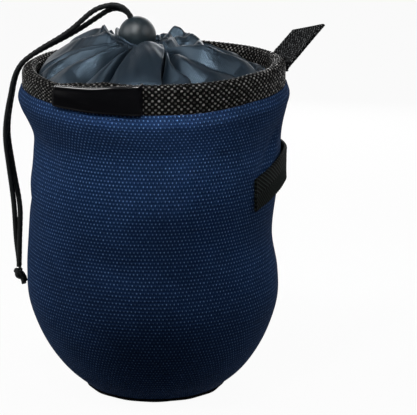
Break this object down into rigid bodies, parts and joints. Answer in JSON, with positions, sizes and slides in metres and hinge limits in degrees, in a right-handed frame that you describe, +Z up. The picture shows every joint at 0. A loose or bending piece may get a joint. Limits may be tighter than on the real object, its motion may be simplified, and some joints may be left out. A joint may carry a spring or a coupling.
{
  "type": "chalk bag",
  "caption": "Round soft chalk bag with a lined canvas bucket, a stiffened webbing rim, and a drawstring collar held shut by a sprung ball cord lock.",
  "frame": {"origin": "middle of the base panel's underside, on the surface that the bag stands on", "axes": "+Z up out of the mouth, -Y towards the front, where the leatherette patch is, +X to the side with the pull tab and the brush loop"},
  "size_m": [0.1458, 0.1223, 0.1774],
  "materials": {
    "canvas": "coarse navy plain weave",
    "black_canvas": "coarse black plain weave",
    "fleece": "short grey pile",
    "webbing": "ribbed black webbing",
    "elastic": "flat black elastic band",
    "leatherette": "black, semi-gloss, fine grain",
    "nylon": "thin slate nylon with a soft sheen",
    "cordage": "black braid",
    "hoop_plastic": "extruded rod",
    "lock_plastic": "moulded, satin",
    "spring_steel": "drawn wire"
  },
  "bodies": {
    "bag": {"shell_panel": "canvas", "base_panel": "black_canvas", "lining_sleeve": "fleece", "lining_base": "fleece", "rim_hoop": "hoop_plastic", "rim_webbing": "webbing", "front_patch": "leatherette", "pull_tab": "webbing", "brush_loop": "elastic", "drawstring_collar": "nylon", "drawcord_loop": "cordage", "cord_tail_front": "cordage", "cord_tail_back": "cordage", "cord_knot": "cordage"},
    "cord_lock": {"cord_lock_body": "lock_plastic", "cord_lock_spring": "spring_steel"},
    "lock_button": {"cord_lock_button": "lock_plastic"}
  },
  "joints": [
    {"name": "lock_slide", "type": "slide", "parent": "bag", "child": "cord_lock", "axis": [-0.3584, 0, 0.9336], "range_m": [0, 0.012], "deforming": ["cord_tail_front", "cord_tail_back"]},
    {"name": "button_press", "type": "slide", "parent": "cord_lock", "child": "lock_button", "axis": [0, -1, 0], "range_m": [0, 0.0024], "stiffness_N_per_m": 400, "springref_m": -0.0025, "deforming": ["cord_lock_spring"]}
  ]
}
